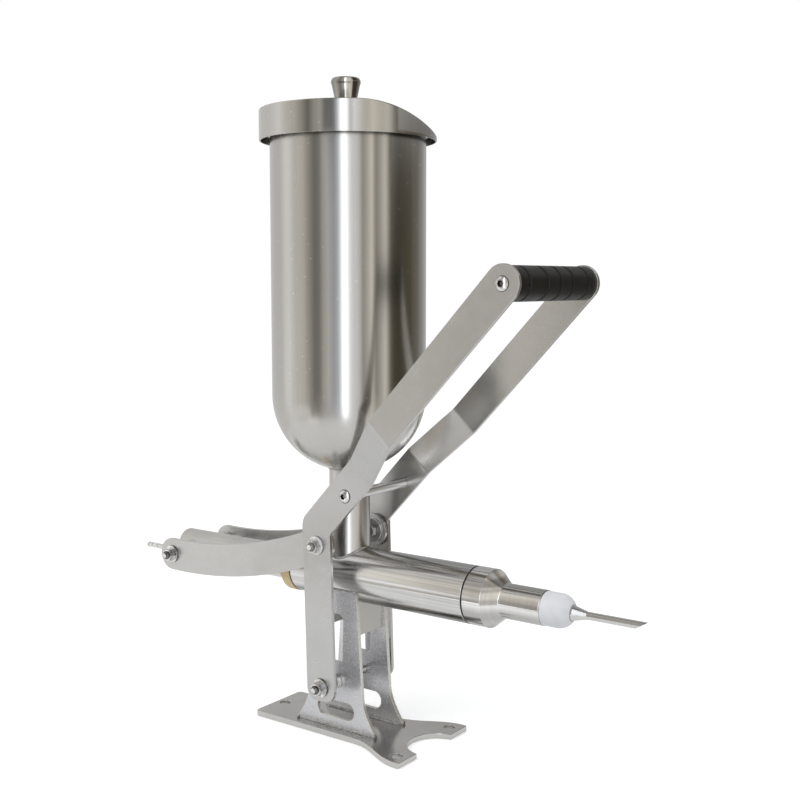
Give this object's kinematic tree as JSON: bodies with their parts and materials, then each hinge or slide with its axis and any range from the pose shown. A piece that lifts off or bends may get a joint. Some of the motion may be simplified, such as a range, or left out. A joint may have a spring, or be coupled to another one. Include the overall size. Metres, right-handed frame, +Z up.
{
  "type": "bread filling machine",
  "caption": "Hand-lever piston filler for bread and pastry: lidded steel hopper above a horizontal barrel with a filling needle, on a screw-down stand.",
  "frame": {"origin": "on the underside of the base plate, below the axis of the hopper", "axes": "+X along the barrel towards the needle, +Y to the left seen from the crosshead, +Z up"},
  "size_m": [0.5828, 0.17, 0.6387],
  "materials": {
    "satin_steel": "blasted, matt",
    "polished_steel": "polished",
    "turned_steel": "turned, satin",
    "fastener_steel": "bright",
    "tan_plastic": "turned",
    "white_plastic": "smooth",
    "black_rubber": "matt",
    "grip_rubber": "satin"
  },
  "bodies": {
    "stand": {"base_plate": "satin_steel", "side_plate_right": "satin_steel", "side_plate_left": "satin_steel", "front_web": "satin_steel", "rear_web": "satin_steel", "barrel": "turned_steel", "hopper_neck": "polished_steel", "hopper": "polished_steel", "guide_bush": "tan_plastic", "bush_gasket": "black_rubber", "rod_seal": "black_rubber", "gland_collar": "turned_steel", "pivot_axle": "fastener_steel", "axle_bosses": "satin_steel", "axle_collars": "fastener_steel", "axle_washers": "fastener_steel", "axle_nuts": "fastener_steel", "nozzle_cap": "turned_steel", "cap_gasket": "black_rubber", "nozzle_holder": "white_plastic", "filling_needle": "turned_steel"},
    "lid": {"lid": "polished_steel", "lid_seat_ring": "polished_steel", "lid_knob": "turned_steel", "knob_screw": "fastener_steel"},
    "piston": {"piston_rod": "turned_steel", "rod_plug": "turned_steel", "piston_head": "white_plastic", "piston_rings": "black_rubber", "piston_screw": "fastener_steel", "crosshead_bar": "turned_steel", "crosshead_screw": "fastener_steel", "stop_rods": "fastener_steel", "stop_nuts": "fastener_steel", "crosshead_washers": "fastener_steel", "crosshead_nuts": "fastener_steel"},
    "links": {"link_right": "satin_steel", "link_left": "satin_steel"},
    "lever": {"lever_arm_right": "satin_steel", "lever_arm_left": "satin_steel", "lever_crossbar": "turned_steel", "crossbar_screws": "fastener_steel", "handle_core": "turned_steel", "handle_grip": "grip_rubber", "handle_screws": "fastener_steel", "link_bolts": "fastener_steel", "link_washers": "fastener_steel", "link_nuts": "fastener_steel"}
  },
  "joints": [
    {"name": "lever_swing", "type": "hinge", "parent": "stand", "child": "lever", "pos_m": [0.0015, 0, 0.0535], "axis": [0, 1, 0], "range_deg": [0, 34]},
    {"name": "piston_slide", "type": "slide", "parent": "stand", "child": "piston", "axis": [1, 0, 0], "range_m": [0, 0.078]},
    {"name": "link_swing", "type": "hinge", "parent": "piston", "child": "links", "pos_m": [-0.20827, 0, 0.156], "axis": [0, 1, 0], "range_deg": [0, 5.5]},
    {"name": "lid_lift", "type": "slide", "parent": "stand", "child": "lid", "axis": [0, 0, 1], "range_m": [0, 0.06]}
  ],
  "couplings": [
    {"joint": "piston_slide", "follows": "lever_swing", "m_per_rad": 0.1305},
    {"joint": "link_swing", "follows": "lever_swing", "ratio": 0.1429}
  ]
}
